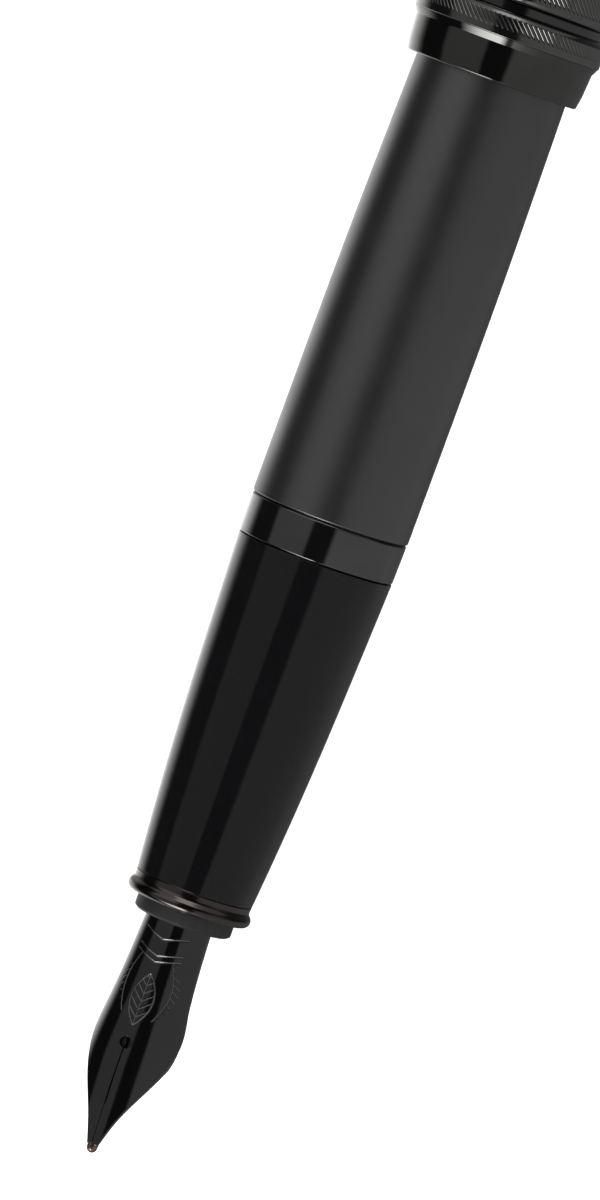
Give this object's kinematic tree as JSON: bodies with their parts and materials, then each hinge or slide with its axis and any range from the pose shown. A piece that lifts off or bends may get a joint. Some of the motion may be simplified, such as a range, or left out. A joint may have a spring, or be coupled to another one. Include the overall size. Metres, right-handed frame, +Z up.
{
  "type": "fountain pen",
  "caption": "Fountain pen with its cap posted on the barrel's tail: black nib, gloss grip section, satin barrel and knurled cap bands.",
  "frame": {"origin": "on the surface that the pen lies on, under the middle of its length", "axes": "+X along the pen's axis from the nib to the cap's top, +Z up, +Y to the side that the nib's face is turned towards"},
  "size_m": [0.156, 0.0163, 0.0154],
  "materials": {
    "black_nib": "polished black vapour-deposited coating over steel, engraved",
    "tipping_alloy": "ground tipping alloy, satin",
    "feed_plastic": "moulded, satin black",
    "collar_plastic": "moulded, matte dark grey",
    "gunmetal_ring": "polished, dark gunmetal coating",
    "gloss_black": "polished gloss black",
    "brass": "turned",
    "black_ring": "polished black vapour-deposited coating",
    "knurl_metal": "black coating over diagonal knurling",
    "groove_black": "matte black",
    "seal_rubber": "moulded rubber",
    "matte_lacquer": "fine satin black lacquer",
    "converter_black": "moulded black",
    "clear_tube": "clear polystyrene",
    "polished_steel": "polished",
    "white_plastic": "moulded white",
    "liner_plastic": "moulded dark plastic",
    "black_clip": "polished black vapour-deposited coating"
  },
  "bodies": {
    "section": {"nib_housing": "collar_plastic", "section_front_ring": "gunmetal_ring", "grip_section": "gloss_black", "section_thread_sleeve": "brass", "trim_ring": "black_ring"},
    "nib_unit": {"nib": "black_nib", "nib_tipping": "tipping_alloy", "feed": "feed_plastic"},
    "barrel_seal": {"barrel_o_ring": "seal_rubber"},
    "barrel": {"barrel_shell": "matte_lacquer", "barrel_thread_insert": "brass", "barrel_end_plug": "matte_lacquer"},
    "converter": {"converter_mouth": "converter_black", "converter_tube": "clear_tube", "converter_ferrule": "polished_steel"},
    "converter_screw": {"converter_knob": "converter_black", "converter_spindle": "converter_black"},
    "piston": {"converter_piston_stem": "white_plastic", "converter_piston_seal": "seal_rubber"},
    "cap": {"cap_lip_ring": "black_ring", "cap_knurled_band_lower": "knurl_metal", "cap_groove_ring": "groove_black", "cap_knurled_band_upper": "knurl_metal", "cap_tube": "matte_lacquer", "inner_cap": "liner_plastic", "clip_ring": "black_ring", "cap_spring_washer": "polished_steel", "cap_screw": "brass", "cap_top": "black_ring"},
    "clip": {"clip": "black_clip"}
  },
  "joints": [
    {"name": "nib_unit_pull", "type": "slide", "parent": "section", "child": "nib_unit", "axis": [-1, 0, 0], "range_m": [0, 0.023]},
    {"name": "barrel_advance", "type": "slide", "parent": "section", "child": "barrel_seal", "axis": [1, 0, 0], "range_m": [0, 0.006]},
    {"name": "barrel_turn", "type": "hinge", "parent": "barrel_seal", "child": "barrel", "pos_m": [-0.0235, 0, 0.00769], "axis": [1, 0, 0], "range_deg": [0, 2160]},
    {"name": "cap_pull", "type": "slide", "parent": "barrel", "child": "cap", "axis": [1, 0, 0], "range_m": [0, 0.036]},
    {"name": "clip_flex", "type": "hinge", "parent": "cap", "child": "clip", "pos_m": [0.07051, -0.00639, 0.00217], "axis": [0, -0.6534, 0.757], "range_deg": [0, 5], "stiffness_Nm_per_rad": 2.5},
    {"name": "converter_pull", "type": "slide", "parent": "section", "child": "converter", "axis": [1, 0, 0], "range_m": [0, 0.0065]},
    {"name": "knob_turn", "type": "hinge", "parent": "converter", "child": "converter_screw", "pos_m": [0.022, 0, 0.00769], "axis": [1, 0, 0], "range_deg": [0, 2880]},
    {"name": "piston_slide", "type": "slide", "parent": "converter", "child": "piston", "axis": [1, 0, 0], "range_m": [0, 0.02]}
  ],
  "couplings": [
    {"joint": "barrel_turn", "follows": "barrel_advance", "rad_per_m": 6283.2},
    {"joint": "knob_turn", "follows": "piston_slide", "rad_per_m": 2513.3}
  ]
}
